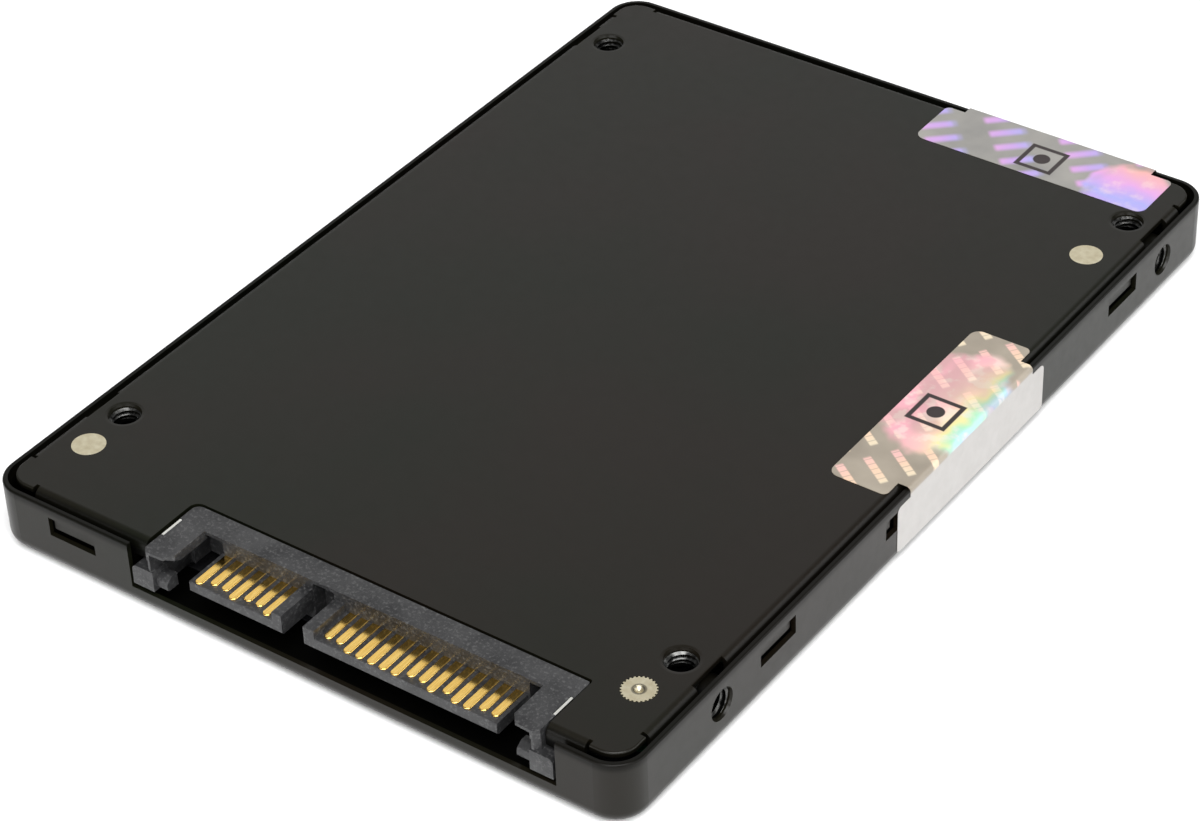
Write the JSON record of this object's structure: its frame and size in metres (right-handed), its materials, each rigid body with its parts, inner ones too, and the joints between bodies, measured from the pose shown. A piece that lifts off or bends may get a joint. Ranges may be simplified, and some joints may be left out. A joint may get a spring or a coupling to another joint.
{
  "type": "solid state drive",
  "caption": "Flat 2.5-inch storage drive in a dark pressed-sheet case, mounting face up, with a serial-ATA plug in a cut-out at one end.",
  "frame": {"origin": "centre of the face the drive rests on, which is the label face", "axes": "+Z out of the face with the mounting holes, -Y out of the end with the plug, +X to the right seen from above with the plug towards the viewer"},
  "size_m": [0.0699, 0.1003, 0.0071],
  "materials": {
    "coated_sheet": "satin charcoal coating on pressed sheet",
    "nickel_steel": "nickel plated, fine turned marks",
    "black_screw": "zinc plated",
    "plug_plastic": "glass-filled, faintly speckled",
    "gold_contact": "gold plated",
    "clip_metal": "tin plated",
    "board": "green solder mask",
    "chip_black": "matt moulded epoxy",
    "coil_grey": "pressed powder",
    "tantalum": "moulded, yellow",
    "capacitor_tan": "fired ceramic",
    "resistor_black": "glazed top on white ceramic",
    "tin": "tinned",
    "can_metal": "welded can lid",
    "thermal_pad": "soft, slightly dusty",
    "film": "thin polyester",
    "seal": "silver iridescent film, no printing",
    "label": "plain printed film, no text"
  },
  "bodies": {
    "root": {"case_tray": "coated_sheet", "base_cover": "coated_sheet", "plain_standoffs": "nickel_steel", "knurled_standoff": "nickel_steel", "board_screws": "black_screw", "connector_housing": "plug_plastic", "signal_contacts": "gold_contact", "power_contacts": "gold_contact", "hold_down_clips": "clip_metal", "circuit_board": "board", "controller_chip": "chip_black", "dram_chip": "chip_black", "nand_upper": "chip_black", "nand_lower": "chip_black", "controller_pad": "thermal_pad", "memory_pads": "thermal_pad", "power_inductors": "coil_grey", "regulator_chips": "chip_black", "holdup_capacitors": "tantalum", "clock_crystal": "can_metal", "ceramic_capacitors": "capacitor_tan", "chip_resistors": "resistor_black", "chip_terminals": "tin", "insulating_film": "film", "rear_seal": "seal", "side_seal": "seal", "product_label": "label"}
  },
  "joints": []
}
